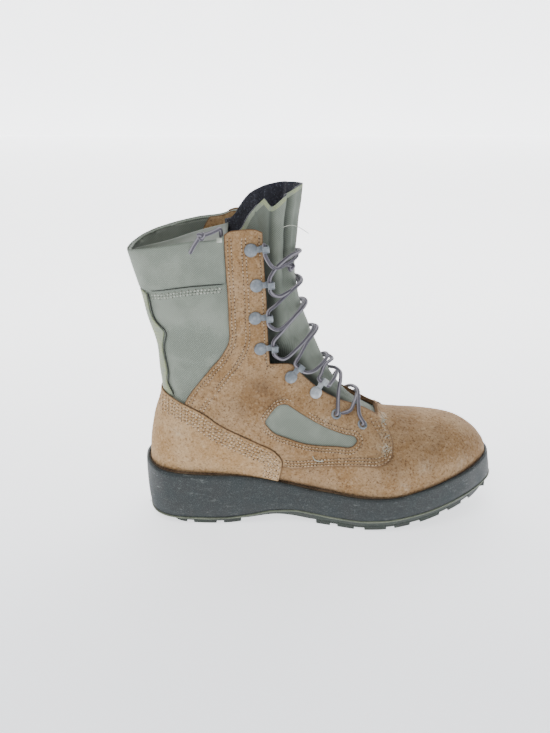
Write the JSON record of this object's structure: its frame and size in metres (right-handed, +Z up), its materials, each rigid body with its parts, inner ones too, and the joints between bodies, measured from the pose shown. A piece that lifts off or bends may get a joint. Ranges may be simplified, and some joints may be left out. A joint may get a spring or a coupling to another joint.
{
  "type": "combat boot",
  "caption": "Tall lace-up combat boot for the right foot with a plain suede toe, nylon shaft, speed hooks, folded tongue and lugged rubber sole.",
  "frame": {"origin": "middle of the boot's footprint on the floor", "axes": "+X towards the toe, +Y towards the inner side of the foot, +Z up"},
  "size_m": [0.3216, 0.1104, 0.2926],
  "materials": {
    "sidewall": "dark grey-green moulded rubber with a satin sheen and pale scuffs",
    "tread": "dark green tread rubber, matt",
    "suede": "tan rough-out leather with a short nap, darker over the toe",
    "nylon": "sage green nylon twill",
    "cuff": "grey-green woven nylon around the collar",
    "lining": "dark navy speckled terry",
    "binding": "pale olive woven tape along the edges",
    "thread": "light tan sewing thread",
    "hardware": "matt grey lacquered steel",
    "lace": "round braid in two greys",
    "insole": "dark cloth over foam"
  },
  "bodies": {
    "root": {"outsole": "tread", "midsole": "sidewall", "upper": "suede", "shaft": "nylon", "insole": "insole", "heel_counter": "suede", "back_stay": "nylon", "collar_cuff": "cuff", "tongue": "nylon", "lace": "lace", "lace_knot": "lace", "lace_tail": "lace", "quarter_lateral": "suede", "hook_lateral_1": "hardware", "hook_lateral_2": "hardware", "hook_lateral_3": "hardware", "hook_lateral_4": "hardware", "hook_lateral_5": "hardware", "hook_lateral_6": "hardware", "eyelet_lateral_1": "hardware", "eyelet_lateral_2": "hardware", "quarter_medial": "suede", "hook_medial_1": "hardware", "hook_medial_2": "hardware", "hook_medial_3": "hardware", "hook_medial_4": "hardware", "hook_medial_5": "hardware", "hook_medial_6": "hardware", "eyelet_medial_1": "hardware", "eyelet_medial_2": "hardware"}
  },
  "joints": []
}
